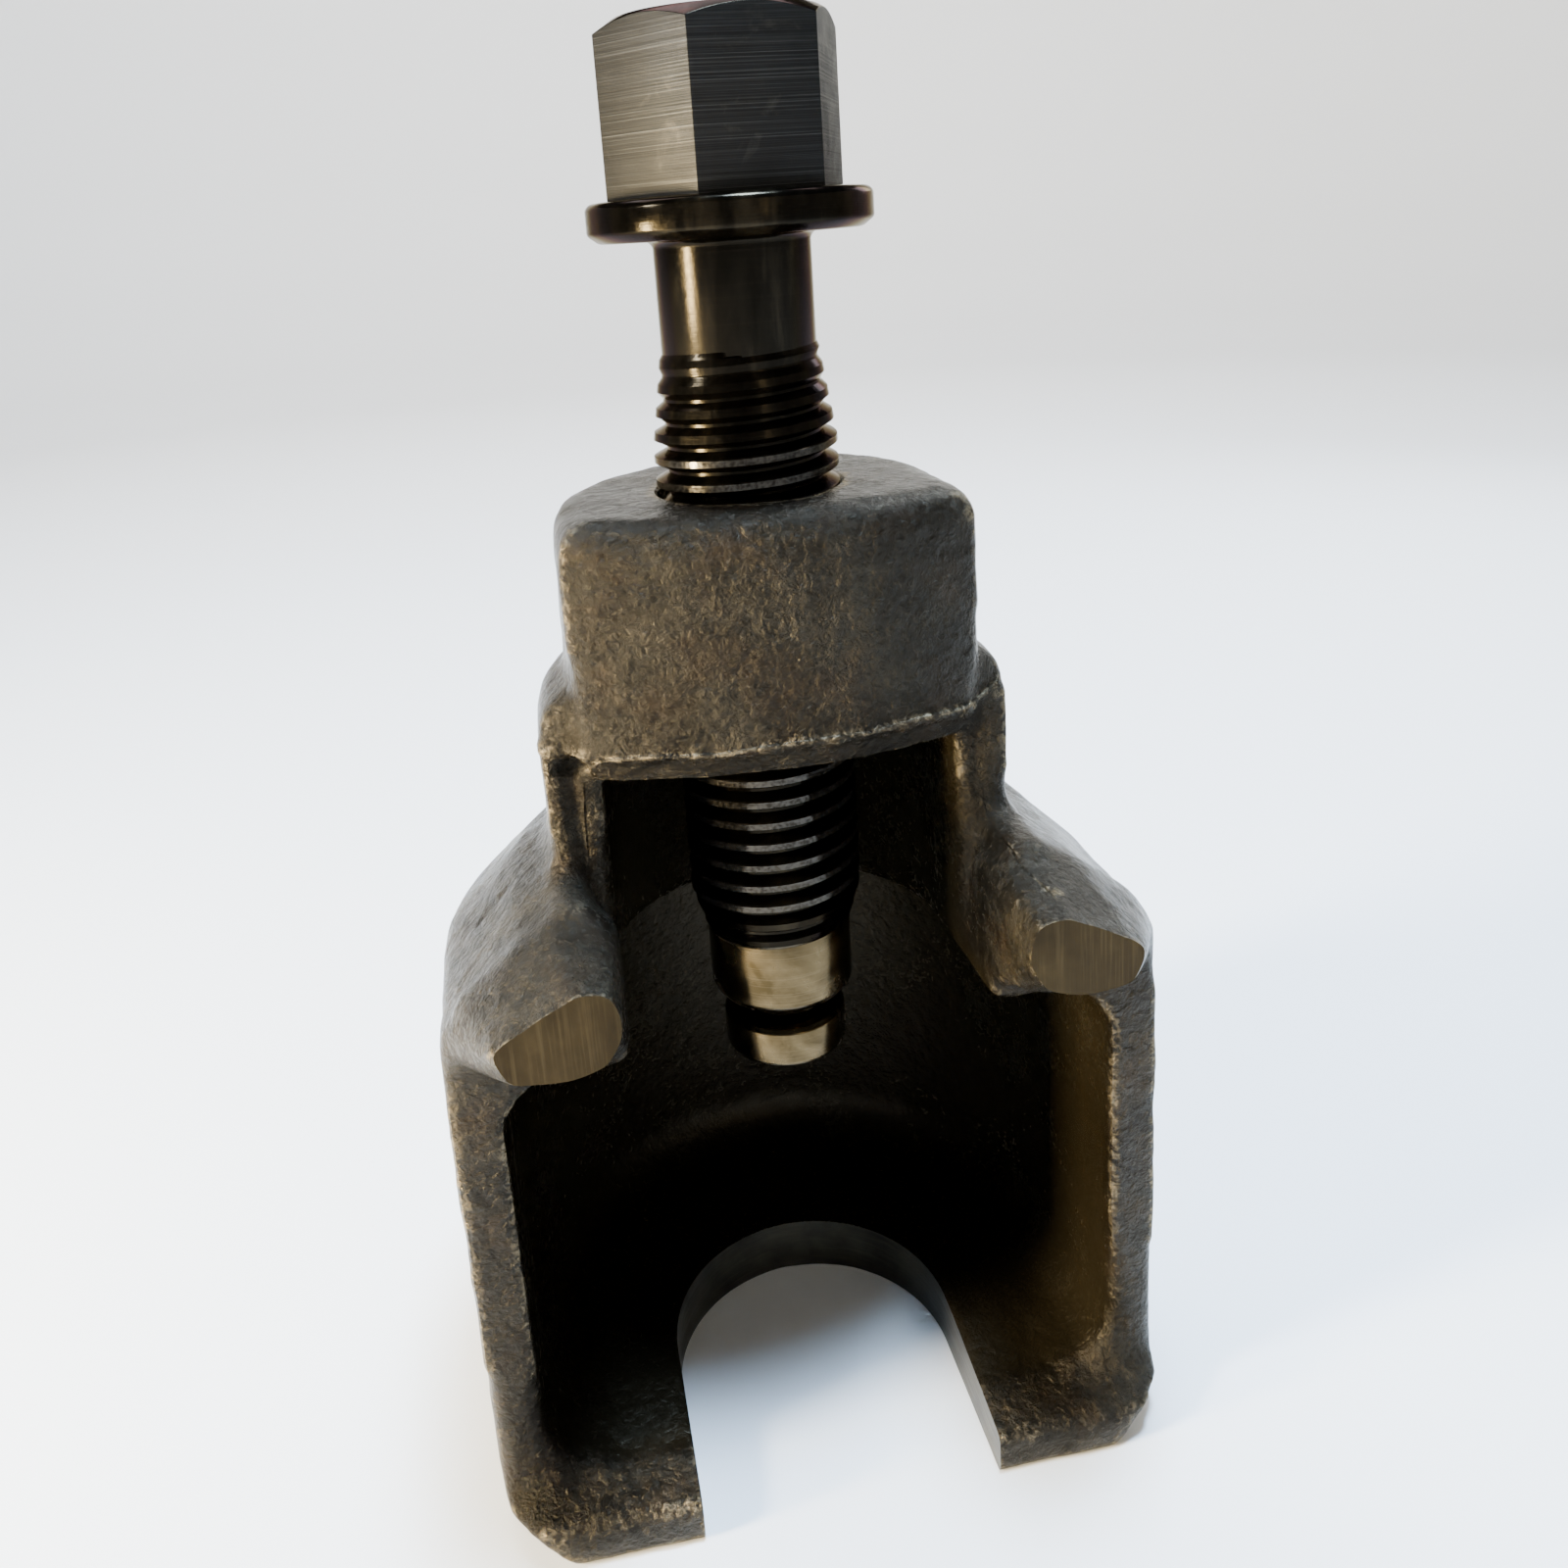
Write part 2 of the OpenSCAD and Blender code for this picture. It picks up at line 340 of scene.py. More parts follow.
def parting_ridge(piece):
    """The burr where the two dies met, along the boss's front and down onto the neck."""
    places, outward = points_of(piece), directions_of(piece)
    across = places[:, 0] / MM
    level = PARTING_RIDGE + (0.5 * np.sin(across * 0.9) + 0.3 * np.sin(across * 2.3 + 1)) * 0.4 * MM
    off = np.abs(places[:, 2] - level)
    front = ramp(-places[:, 1], 6 * MM, 9 * MM)
    burr = (1 - ramp(off, 0.1 * MM, 1.1 * MM)) * front * (0.75 + 0.25 * np.sin(across * 1.7))
    below = ramp(level - places[:, 2], 0.3 * MM, 1.4 * MM)
    below *= ramp(places[:, 2], BOSS_UNDERSIDE - MM, BOSS_UNDERSIDE)
    flat_front = front * ramp(-outward[:, 1], 0.3, 0.7) * (np.abs(across) < 20)
    places += outward * (burr * 0.42 * MM)[:, None]
    places[:, 1] += below * flat_front * 0.35 * MM
    move_points(piece, places)


def seams(piece):
    """Shallow folds in the necks' front faces and on the lugs."""
    places, outward = points_of(piece), directions_of(piece)
    left_fold = [(-22.6, -9.5, 88), (-22.4, -9.6, 80), (-22, -10, 76)]
    right_fold = [(21.6, -9.5, 87), (21.8, -9.6, 80)]
    left_nick = [(-23.3, -9.6, 87.4), (-21.3, -9.9, 87.6)]
    press_line(places, outward, left_fold, 1.5 * MM, -0.55 * MM)
    press_line(places, outward, right_fold, 1.2 * MM, -0.25 * MM)
    press_line(places, outward, left_nick, 1.5 * MM, -1.1 * MM)
    for shift in (0, 0.9, 2.1):
        shoulder_fold = [(-29.4 - shift, -2, 75.4 - shift / 2), (-31.2 - shift, -3, 72.6 - shift),
                         (-32.0 - shift, -4, 70.2 - shift)]
        press_line(places, outward, shoulder_fold, 0.9 * MM, -0.2 * MM)
    move_points(piece, places)


def cord_on_surface(piece, name, path, thickness):
    """A thin round bar laid along the surface from the front and above, and thinned at both ends.

    Returns the bar and the points that it lies on.
    """
    surface = BVHTree.FromPolygons([v.co for v in piece.data.vertices],
                                   [tuple(f.vertices) for f in piece.data.polygons])
    ahead = Vector((0.05, 0.93, -0.36)).normalized()
    spots = []
    for start, end in zip(path[:-1], path[1:]):
        start, end = Vector(start) * MM, Vector(end) * MM
        steps = max(2, round((end - start).length / (0.9 * MM)))
        spots += [start.lerp(end, step / steps) for step in range(steps)]
    spots.append(Vector(path[-1]) * MM)
    landed = [surface.ray_cast(spot - ahead * 12 * MM, ahead)[0] for spot in spots]
    landed = [spot for spot in landed if spot]
    curve = bpy.data.curves.new(name, "CURVE")
    curve.dimensions = "3D"
    curve.bevel_depth = thickness
    curve.bevel_resolution = 1
    curve.use_fill_caps = True
    line = curve.splines.new("POLY")
    line.points.add(len(landed) - 1)
    for step, (point, spot) in enumerate(zip(line.points, landed)):
        point.co = (*spot, 1)
        ends = min(1, 0.3 + 0.25 * min(step, len(landed) - 1 - step))
        point.radius = ends * (0.85 + 0.3 * math.sin(step * 2.4) * math.sin(step * 0.7))
    bar = bpy.data.objects.new(name, curve)
    bpy.context.scene.collection.objects.link(bar)
    pick(bar)
    bpy.ops.object.convert(target="MESH")
    return bar, [np.array(spot) for spot in landed]


def burr_and_cracks(piece):
    """The thin burr left on the parting ridge, and the hairline folds in the forging."""
    burr = [(-20.8, -11, 87.8), (-18.8, -12, 88.9), (-14, -14, 89.4), (-8, -15.6, 89.3), (0, -16.2, 89.7),
            (8, -15.6, 89.5), (14, -14, 89.7), (19, -12, 89.3), (21.6, -10, 89.5), (23.4, -9.6, 90.3),
            (25.0, -9, 91.6)]
    cracks = (
        [(22.3, -9.5, 77.6), (22.5, -9.5, 74.6), (22.7, -11, 72.6), (22.8, -13, 71.6), (24.2, -15, 69.6),
         (25.6, -16.5, 68)],
        [(-32.5, -20, 10.9), (-31.6, -22, 10), (-30.6, -24, 7.9)],
        [(32.2, -20, 9.3), (32.1, -22, 7.8), (31.9, -23.6, 6)],
        [(-21.2, -9.5, 85.6), (-21.5, -9.5, 81), (-21.6, -9.5, 77)])
    bar, ridge = cord_on_surface(piece, "burr", burr, BURR_THICKNESS)
    combine(piece, bar, "UNION")
    for crack in cracks:
        bar, _ = cord_on_surface(piece, "crack", crack, FOLD_WIDTH)
        combine(piece, bar, "DIFFERENCE")
    return ridge


def cut_crisp(piece):
    """The slot, the bore and the lugs' ground faces are cut after the forging is softened."""
    slot = rod("slot_cutter", SLOT_RADIUS, -5 * MM, 15 * MM, 160, (0, SLOT_CENTRE_Y))
    mouth = block("slot_mouth", (-SLOT_RADIUS, -60 * MM, -5 * MM), (SLOT_RADIUS, SLOT_CENTRE_Y, 15 * MM))
    combine(slot, mouth, "UNION")
    combine(piece, slot, "DIFFERENCE")
    bore = turned("bore_cutter", [
        (BORE_RADIUS, BOSS_UNDERSIDE - 3 * MM), (BORE_RADIUS, BOSS_TOP - 0.25 * MM),
        (BORE_RADIUS + MM, BOSS_TOP + 0.75 * MM)])
    combine(piece, bore, "DIFFERENCE")
    pick(piece)
    bpy.ops.object.mode_set(mode="EDIT")
    bpy.ops.mesh.select_all(action="SELECT")
    bpy.ops.mesh.bisect(plane_co=(0, LUG_FACE_Y, 0), plane_no=(0, -1, 0), use_fill=True, clear_outer=True)
    bpy.ops.object.mode_set(mode="OBJECT")


def edge_list(piece):
    pairs = np.empty(len(piece.data.edges) * 2, dtype=np.int64)
    piece.data.edges.foreach_get("vertices", pairs)
    return pairs.reshape(-1, 2)


def spread(pairs, values, rounds):
    """Averages a value at each point with its neighbours', again and again."""
    count = np.bincount(pairs.ravel(), minlength=len(values)).astype(float)
    count[count == 0] = 1
    for _ in range(rounds):
        total = np.zeros_like(values)
        np.add.at(total, pairs[:, 0], values[pairs[:, 1]])
        np.add.at(total, pairs[:, 1], values[pairs[:, 0]])
        share = total / (count if values.ndim == 1 else count[:, None])
        values = 0.5 * values + 0.5 * share
    return values


def write_point_value(piece, name, values):
    layer = piece.data.attributes.new(name, "FLOAT", "POINT")
    layer.data.foreach_set("value", values.astype(np.float32))


def distance_to_line(places, line):
    nearest = np.full(len(places), np.inf)
    for start, end in zip(line[:-1], line[1:]):
        run = end - start
        along = np.clip((places - start) @ run / (run @ run), 0, 1)
        nearest = np.minimum(nearest, np.linalg.norm(places - start - along[:, None] * run, axis=1))
    return nearest


def mark_wear(piece, ridge):
    """Edge wear, and painted shade in creases and hollows, from how far each point stands out of the
    surface round it.
    """
    places, outward, pairs = points_of(piece), directions_of(piece), edge_list(piece)
    proud = np.sum((places - spread(pairs, places, 8)) * outward, axis=1)
    proud = spread(pairs, proud, 1)
    inside = inside_share(places)
    on_ridge = 1 - ramp(distance_to_line(places, ridge), 0.24 * MM, 0.4 * MM)
    worn = np.maximum(ramp(proud, 0.03 * MM, 0.3 * MM) * (1 - inside), on_ridge)
    write_point_value(piece, "worn", worn)
    # Points sunk in creases and hollows are marked for painted shade: the skin is darkened there as if by
    # the shade that falls in them.
    write_point_value(piece, "painted_crease_shade", ramp(-proud, 0.02 * MM, 0.30 * MM))
    write_point_value(piece, "inside", spread(pairs, inside, 5))


def forge_housing():
    piece = rough_housing()
    finish_modifier(piece, "REMESH", mode="VOXEL", voxel_size=FORGING_GRAIN, adaptivity=0)
    soften(piece)
    parting_ridge(piece)
    seams(piece)
    lumps(piece, 8 * MM, 0.45 * MM)
    lumps(piece, 2.4 * MM, 0.2 * MM)
    places = points_of(piece)
    places[:, 2] = np.maximum(places[:, 2], 0)
    move_points(piece, places)
    ridge = burr_and_cracks(piece)
    cut_crisp(piece)
    weld(piece)
    mark_wear(piece, ridge)
    pick(piece)
    bpy.ops.object.shade_smooth_by_angle(angle=math.radians(35))
    return piece


# ---------------------------------------------------------------- forcing screw
def thread_body():
    """The helical thread, whose ends taper to the shank and the nose."""
    crest, root = THREAD_RADIUS, THREAD_RADIUS - THREAD_DEPTH
    tooth = [(root, 0), (root, 0.08), (crest - 0.12 * MM, 0.345), (crest, 0.38), (crest, 0.65),
             (crest - 0.12 * MM, 0.685), (root, 0.95), (root, 1)]
    turns = math.ceil(THREAD_LENGTH / PITCH) + 4
    begin()
    bpy.ops.mesh.primitive_plane_add(size=MM, location=(root, 0, THREAD_START - 2 * PITCH))
    piece = named("thread")
    settle(piece)
    bpy.ops.object.mode_set(mode="EDIT")
    bpy.ops.mesh.select_all(action="SELECT")
    bpy.ops.mesh.merge(type="CENTER")
    for (radius, share), (next_radius, next_share) in zip(tooth[:-1], tooth[1:]):
        bpy.ops.mesh.extrude_region_move(TRANSFORM_OT_translate={
            "value": (next_radius - radius, 0, (next_share - share) * PITCH)})
    bpy.ops.object.mode_set(mode="OBJECT")
    finish_modifier(piece, "SCREW", screw_offset=PITCH, iterations=turns, steps=96, render_steps=96,
                    use_smooth_shade=False)
    weld(piece)
    places = points_of(piece)
    radius = np.hypot(places[:, 0], places[:, 1])
    height = places[:, 2]
    upper = SHANK_RADIUS + 0.25 * MM + (THREAD_END - height) * 0.15
    lower = NOSE_RADIUS + 0.2 * MM + (height - THREAD_START) * 0.3
    kept = np.minimum(radius, np.minimum(upper, lower))
    ends = np.minimum(ramp(THREAD_END - height, 0, 3 * MM), ramp(height - THREAD_START, 0, 2.5 * MM))
    shallow = SHANK_RADIUS - 0.05 * MM
    kept = np.where(kept < root + 0.01 * MM, np.minimum(kept, shallow + (root - shallow) * ends), kept)
    kept = np.maximum(kept, shallow)
    places[:, 0] *= kept / radius
    places[:, 1] *= kept / radius
    move_points(piece, places)
    pick(piece)
    bpy.ops.object.mode_set(mode="EDIT")
    for plane, up in ((THREAD_START - 0.5 * MM, -1), (THREAD_END + 0.5 * MM, 1)):
        bpy.ops.mesh.select_all(action="SELECT")
        bpy.ops.mesh.bisect(plane_co=(0, 0, plane), plane_no=(0, 0, up), clear_outer=True)
    bpy.ops.mesh.select_all(action="SELECT")
    bpy.ops.mesh.fill_holes(sides=0)
    bpy.ops.mesh.select_all(action="SELECT")
    bpy.ops.mesh.normals_make_consistent(inside=False)
    bpy.ops.object.mode_set(mode="OBJECT")
    return piece


def hexagon_head():
    corner = HEX_ACROSS_FLATS / 2 / math.cos(math.radians(30))
    begin()
    bpy.ops.mesh.primitive_cylinder_add(vertices=6, radius=corner, depth=HEX_HEIGHT + MM,
                                        location=(0, 0, HEX_BASE + HEX_HEIGHT / 2 - MM / 2))
    head = named("hexagon")
    head.rotation_euler = (0, 0, HEX_TURN + math.radians(30))
    settle(head)
    cone = turned("chamfer", [(corner + MM, HEX_BASE - 2 * MM), (corner + MM, SCREW_TOP - 2.0 * MM),
                              (corner - 2.2 * MM, SCREW_TOP)])
    combine(head, cone, "INTERSECT")
    finish_modifier(head, "BEVEL", width=0.35 * MM, segments=3, limit_method="ANGLE",
                    angle_limit=math.radians(25))
    return head


def forcing_screw():
    shank = turned("forcing_screw_turned", [
        (SHANK_RADIUS, THREAD_END - 0.6 * MM), (SHANK_RADIUS, FLANGE_BASE - 0.6 * MM),
        (SHANK_RADIUS + 0.5 * MM, FLANGE_BASE - 0.05 * MM),
        (FLANGE_RADIUS - 1.2 * MM, FLANGE_BASE), (FLANGE_RADIUS, FLANGE_BASE + 0.9 * MM),
        (FLANGE_RADIUS, HEX_BASE - 0.5 * MM), (FLANGE_RADIUS - 0.5 * MM, HEX_BASE),
        (HEX_ACROSS_FLATS / 2 - 0.5 * MM, HEX_BASE + 0.3 * MM)])
    nose = turned("nose", [
        (SPIGOT_RADIUS - 1.8 * MM, PAD_FACE + 3.0 * MM), (SPIGOT_RADIUS - 1.8 * MM, PAD_TOP + 0.2 * MM),
        (SPIGOT_RADIUS, PAD_TOP + 0.7 * MM), (SPIGOT_RADIUS, NOSE_START - 0.4 * MM),
        (SPIGOT_RADIUS + 0.4 * MM, NOSE_START), (NOSE_RADIUS - 0.9 * MM, NOSE_START),
        (NOSE_RADIUS, NOSE_START + 1.1 * MM), (NOSE_RADIUS, THREAD_START + 0.6 * MM)])
    for part in (shank, nose):
        finish_modifier(part, "BEVEL", width=0.25 * MM, segments=2, limit_method="ANGLE",
                        angle_limit=math.radians(25))
    piece = join(shank, nose, thread_body(), hexagon_head())
    piece.name = "forcing_screw_finished"
    pick(piece)
    bpy.ops.object.shade_smooth_by_angle(angle=math.radians(32))
    return piece


# ---------------------------------------------------------------- thrust pad
def thrust_pad():
    piece = turned("thrust_pad_finished", [
        (PAD_RADIUS - 0.7 * MM, PAD_FACE), (PAD_RADIUS - 0.12 * MM, PAD_FACE + 0.4 * MM),
        (PAD_RADIUS, PAD_FACE + 0.8 * MM), (PAD_RADIUS, PAD_TOP - 0.5 * MM),
        (PAD_RADIUS - 0.5 * MM, PAD_TOP), (4.0 * MM, PAD_TOP), (3.8 * MM, PAD_TOP - 0.2 * MM),
        (3.8 * MM, PAD_FACE + 2.6 * MM)])
    finish_modifier(piece, "BEVEL", width=0.2 * MM, segments=2, limit_method="ANGLE",
                    angle_limit=math.radians(30))
    weld(piece)
    bpy.ops.object.shade_smooth_by_angle(angle=math.radians(32))
    return piece


# ---------------------------------------------------------------- finishes
class Bench:
    """One material being mixed: short names for the nodes a finish is made of."""

    def __init__(self, name):
        self.material = bpy.data.materials.new(name)
        self.material.use_nodes = True
        self.nodes = self.material.node_tree.nodes
        self.links = self.material.node_tree.links
        self.shader = self.nodes["Principled BSDF"]
        self.place = self.nodes.new("ShaderNodeTexCoord").outputs["Object"]

    def join(self, source, socket):
        if hasattr(source, "is_linked"):
            self.links.new(source, socket)
        else:
            socket.default_value = source

    def stretched(self, stretch):
        mapping = self.nodes.new("ShaderNodeMapping")
        mapping.inputs["Scale"].default_value = stretch
        self.links.new(self.place, mapping.inputs["Vector"])
        return mapping.outputs["Vector"]

    def grain(self, scale, detail=3, roughness=0.55, warp=0, place=None):
        noise = self.nodes.new("ShaderNodeTexNoise")
        noise.inputs["Scale"].default_value = scale
        noise.inputs["Detail"].default_value = detail
        noise.inputs["Roughness"].default_value = roughness
        noise.inputs["Distortion"].default_value = warp
        self.links.new(place or self.place, noise.inputs["Vector"])
        return noise.outputs["Fac"]

    def mark(self, name):
        layer = self.nodes.new("ShaderNodeAttribute")
        layer.attribute_name = name
        return layer.outputs["Fac"]

    def shades(self, value, *stops):
        """A colour ramp through (position, colour) stops."""
        ramp_node = self.nodes.new("ShaderNodeValToRGB")
        elements = ramp_node.color_ramp.elements
        while len(elements) < len(stops):
            elements.new(0.5)
        for element, (position, colour) in zip(elements, stops):
            element.position = position
            element.color = (*colour, 1)
        self.links.new(value, ramp_node.inputs["Fac"])
        return ramp_node.outputs["Color"]

    def scaled(self, value, low, high, new_low=0.0, new_high=1.0):
        """A value taken from one range to another, and held there."""
        node = self.nodes.new("ShaderNodeMapRange")
        ends = {"From Min": low, "From Max": high, "To Min": new_low, "To Max": new_high}
        for name, number in ends.items():
            node.inputs[name].default_value = number
        self.links.new(value, node.inputs["Value"])
        return node.outputs["Result"]

    def sum(self, operation, first, second):
        node = self.nodes.new("ShaderNodeMath")
        node.operation = operation
        self.join(first, node.inputs[0])
        self.join(second, node.inputs[1])
        return node.outputs["Value"]

    def blend(self, factor, first, second):
        node = self.nodes.new("ShaderNodeMix")
        node.data_type = "RGBA"
        self.join(factor, node.inputs["Factor"])
        colours = [socket for socket in node.inputs if socket.type == "RGBA"]
        for colour, socket in zip((first, second), colours):
            self.join(colour if hasattr(colour, "is_linked") else (*colour, 1), socket)
        return next(socket for socket in node.outputs if socket.type == "RGBA")

    def relief(self, height, distance, strength=1.0, under=None):
        node = self.nodes.new("ShaderNodeBump")
        node.inputs["Distance"].default_value = distance
        node.inputs["Strength"].default_value = strength
        self.links.new(height, node.inputs["Height"])
        if under:
            self.links.new(under, node.inputs["Normal"])
        return node.outputs["Normal"]

    def coat_with(self, colour=None, roughness=None, metallic=None, relief=None):
        for name, source in (("Base Color", colour), ("Roughness", roughness), ("Metallic", metallic),
                             ("Normal", relief)):
            if source is not None:
                self.join(source, self.shader.inputs[name])
        return self.material


def forged_skin():
    """Blackened forging scale: hammered, brownish in patches, rubbed bare along its edges."""
    bench = Bench("forged_skin")
    patches = bench.grain(75, 4, 0.6, 0.4)
    rust = bench.grain(160, 5, 0.65)
    wrinkle = bench.grain(1150, 6, 0.64, 0.7)
    sand = bench.grain(3600, 3, 0.6)
    skin = bench.shades(patches, (0.36, (0.0018, 0.0015, 0.0011)), (0.5, (0.0044, 0.0037, 0.0026)),
                        (0.62, (0.0120, 0.0102, 0.0072)))
    skin = bench.blend(bench.scaled(rust, 0.5, 0.68, 0, 0.5), skin, (0.014, 0.0080, 0.0038))
    # Painted highlight on the crinkles' raised tops, then painted shade in their hollows, both keyed to
    # the noise that also raises the crinkle relief.
    skin = bench.blend(bench.scaled(wrinkle, 0.52, 0.74, 0, 0.4), skin, (0.028, 0.024, 0.017))
    skin = bench.blend(bench.scaled(wrinkle, 0.47, 0.34, 0, 0.5), skin, (0.003, 0.0027, 0.0022))
    # Painted shade: points sunk in creases and hollows are darkened towards black.
    skin = bench.blend(bench.scaled(bench.mark("painted_crease_shade"), 0.1, 1, 0, 0.8), skin, (0.003, 0.0027, 0.0022))
    # Inside the bell's chamber and the neck's hollow the skin is evened to a flat olive-black:
    # oil-darkened oxide, and painted shade for the hollow.
    skin = bench.blend(bench.scaled(bench.mark("inside"), 0, 1, 0, 0.86), skin, (0.0066, 0.0050, 0.0024))
    rubbed = bench.sum("MULTIPLY", bench.mark("worn"), bench.scaled(wrinkle, 0.4, 0.62, 0.1, 1.3))
    rubbed = bench.scaled(rubbed, 0.28, 1.0, 0, 0.8)
    skin = bench.blend(rubbed, skin, (0.115, 0.093, 0.060))
    roughness = bench.scaled(bench.sum("ADD", wrinkle, bench.scaled(patches, 0.3, 0.7, -0.2, 0.2)),
                             0.3, 0.75, 0.14, 0.34)
    metallic = bench.scaled(rubbed, 0, 0.8, 0.2, 0.9)
    outside = bench.scaled(bench.mark("inside"), 0, 1, 1, 0.3)
    swell = bench.sum("MULTIPLY", bench.grain(420, 4, 0.6, 0.5), outside)
    crinkle = bench.sum("MULTIPLY", wrinkle, outside)
    relief = bench.relief(swell, 0.75 * MM, 0.9)
    relief = bench.relief(crinkle, 0.42 * MM, 1.0, relief)
    relief = bench.relief(sand, 0.05 * MM, 0.6, relief)
    bench.shader.inputs["Specular IOR Level"].default_value = 0.13
    bench.shader.inputs["Specular Tint"].default_value = (1, 0.87, 0.66, 1)
    return bench.coat_with(skin, roughness, metallic, relief)


def ground_face():
    """Steel ground flat on a belt, with upright grinding lines."""
    bench = Bench("ground_face")
    lines = bench.grain(1, 4, 0.6, 0, bench.stretched((3600, 3600, 90)))
    patches = bench.grain(180, 4)
    steel = bench.shades(patches, (0.3, (0.012, 0.0074, 0.0022)), (0.6, (0.021, 0.0134, 0.0044)),
                         (0.75, (0.031, 0.0205, 0.0072)))
    steel = bench.blend(bench.scaled(lines, 0.5, 0.75, 0, 0.4), steel, (0.058, 0.040, 0.017))
    roughness = bench.scaled(lines, 0.3, 0.7, 0.42, 0.3)
    return bench.coat_with(steel, roughness, 0.92, bench.relief(lines, 0.03 * MM, 0.7))


def milled_slot():
    """The fork slot's cut wall, darkened again by oil."""
    bench = Bench("milled_slot")
    lines = bench.grain(1, 4, 0.6, 0, bench.stretched((200, 200, 2200)))
    patches = bench.grain(120, 4)
    steel = bench.shades(patches, (0.35, (0.014, 0.013, 0.011)), (0.65, (0.045, 0.042, 0.033)))
    steel = bench.blend(bench.scaled(lines, 0.5, 0.75, 0, 0.3), steel, (0.09, 0.082, 0.066))
    return bench.coat_with(steel, bench.scaled(lines, 0.3, 0.7, 0.36, 0.5), 0.7,
                           bench.relief(lines, 0.04 * MM, 0.6))


def black_oxide():
    """Turned steel with a glossy black oxide, rubbed bright on the thread's crests."""
    bench = Bench("black_oxide")
    rings = bench.grain(1, 3, 0.5, 0, bench.stretched((25, 25, 5200)))
    # Upright streaks of lighter and darker oxide: partly oil and heat tint, partly painted reflection
    # bands standing in for the surroundings mirrored round the shank and thread.
    smudge_and_reflection_streaks = bench.grain(1, 4, 0.6, 0.3, bench.stretched((260, 260, 60)))
    specks = bench.grain(2400, 2)
    split = bench.nodes.new("ShaderNodeSeparateXYZ")
    bench.links.new(bench.place, split.inputs["Vector"])
    square = bench.sum("ADD", bench.sum("MULTIPLY", split.outputs["X"], split.outputs["X"]),
                       bench.sum("MULTIPLY", split.outputs["Y"], split.outputs["Y"]))
    radius = bench.sum("SQRT", square, 0.0)
    on_thread = bench.scaled(split.outputs["Z"], THREAD_END, THREAD_END - MM)
    at_crest = bench.scaled(radius, THREAD_RADIUS - 0.2 * MM, THREAD_RADIUS - 0.05 * MM)
    crest = bench.sum("MULTIPLY", at_crest, on_thread)
    # This colour ramp paints the streaks' reflection bands, along with the oil and heat tint, into the
    # oxide.
    steel = bench.shades(smudge_and_reflection_streaks, (0.38, (0.0020, 0.0017, 0.0012)), (0.54, (0.0046, 0.0039, 0.0027)),
                         (0.70, (0.016, 0.013, 0.008)))
    steel = bench.blend(bench.scaled(rings, 0.58, 0.85, 0, 0.2), steel, (0.03, 0.025, 0.017))
    steel = bench.blend(bench.sum("MULTIPLY", crest, bench.scaled(specks, 0.35, 0.6, 0.1, 0.5)),
                        steel, (0.065, 0.060, 0.052))
    roughness = bench.scaled(bench.sum("ADD", smudge_and_reflection_streaks, bench.scaled(specks, 0.3, 0.7, -0.1, 0.1)),
                             0.3, 0.75, 0.09, 0.26)
    bench.shader.inputs["Specular IOR Level"].default_value = 0.3
    bench.shader.inputs["Specular Tint"].default_value = (0.5, 0.43, 0.32, 1)
    relief = bench.relief(rings, 0.02 * MM, 0.5)
    relief = bench.relief(specks, 0.015 * MM, 0.5, relief)
    return bench.coat_with(steel, roughness, 0.85, relief)


def milled_hexagon():
    """The hexagon's flats: darkened steel with level milling lines, scuffed by sockets."""
    bench = Bench("milled_hexagon")
    lines = bench.grain(1, 5, 0.7, 0, bench.stretched((16, 16, 6500)))
    coarse = bench.grain(1, 2, 0.5, 0, bench.stretched((18, 18, 700)))
    scuff = bench.grain(300, 5, 0.6, 0.6)
    steel = bench.shades(lines, (0.42, (0.010, 0.010, 0.0098)), (0.58, (0.018, 0.018, 0.0176)),
                         (0.72, (0.070, 0.070, 0.067)))
    steel = bench.blend(bench.scaled(scuff, 0.6, 0.8, 0, 0.25), steel, (0.07, 0.065, 0.055))
    roughness = bench.scaled(bench.sum("ADD", lines, scuff), 0.7, 1.2, 0.54, 0.38)
    bench.shader.inputs["Specular IOR Level"].default_value = 0.3
    bench.shader.inputs["Specular Tint"].default_value = (0.4, 0.38, 0.34, 1)
    relief = bench.relief(lines, 0.05 * MM, 0.8)
    relief = bench.relief(coarse, 0.05 * MM, 0.3, relief)
    return bench.coat_with(steel, roughness, 0.85, relief)


def polished_pad():
    """Bare turned steel, bright but browned by oil."""
    bench = Bench("polished_pad")
    rings = bench.grain(1, 3, 0.5, 0, bench.stretched((30, 30, 5200)))
    smudge_and_reflection_streaks = bench.grain(220, 4, 0.6, 0.4)
    steel = bench.shades(smudge_and_reflection_streaks, (0.35, (0.038, 0.027, 0.012)), (0.6, (0.085, 0.062, 0.031)))
    steel = bench.blend(bench.scaled(rings, 0.55, 0.8, 0, 0.4), steel, (0.16, 0.123, 0.070))
    return bench.coat_with(steel, bench.scaled(smudge_and_reflection_streaks, 0.3, 0.7, 0.16, 0.32), 1.0,
                           bench.relief(rings, 0.02 * MM, 0.5))


def bright_steel(name, roughness):
    bench = Bench(name)
    smudge_and_reflection_streaks = bench.grain(900, 3)
    steel = bench.shades(smudge_and_reflection_streaks, (0.3, (0.42, 0.40, 0.37)), (0.7, (0.62, 0.6, 0.57)))
    return bench.coat_with(steel, bench.scaled(smudge_and_reflection_streaks, 0.3, 0.7, roughness, roughness + 0.12), 1.0,
                           bench.relief(smudge_and_reflection_streaks, 0.01 * MM, 0.4))


def dress(piece, *finishes):
    piece.data.materials.clear()
    for finish in finishes:
        piece.data.materials.append(finish)


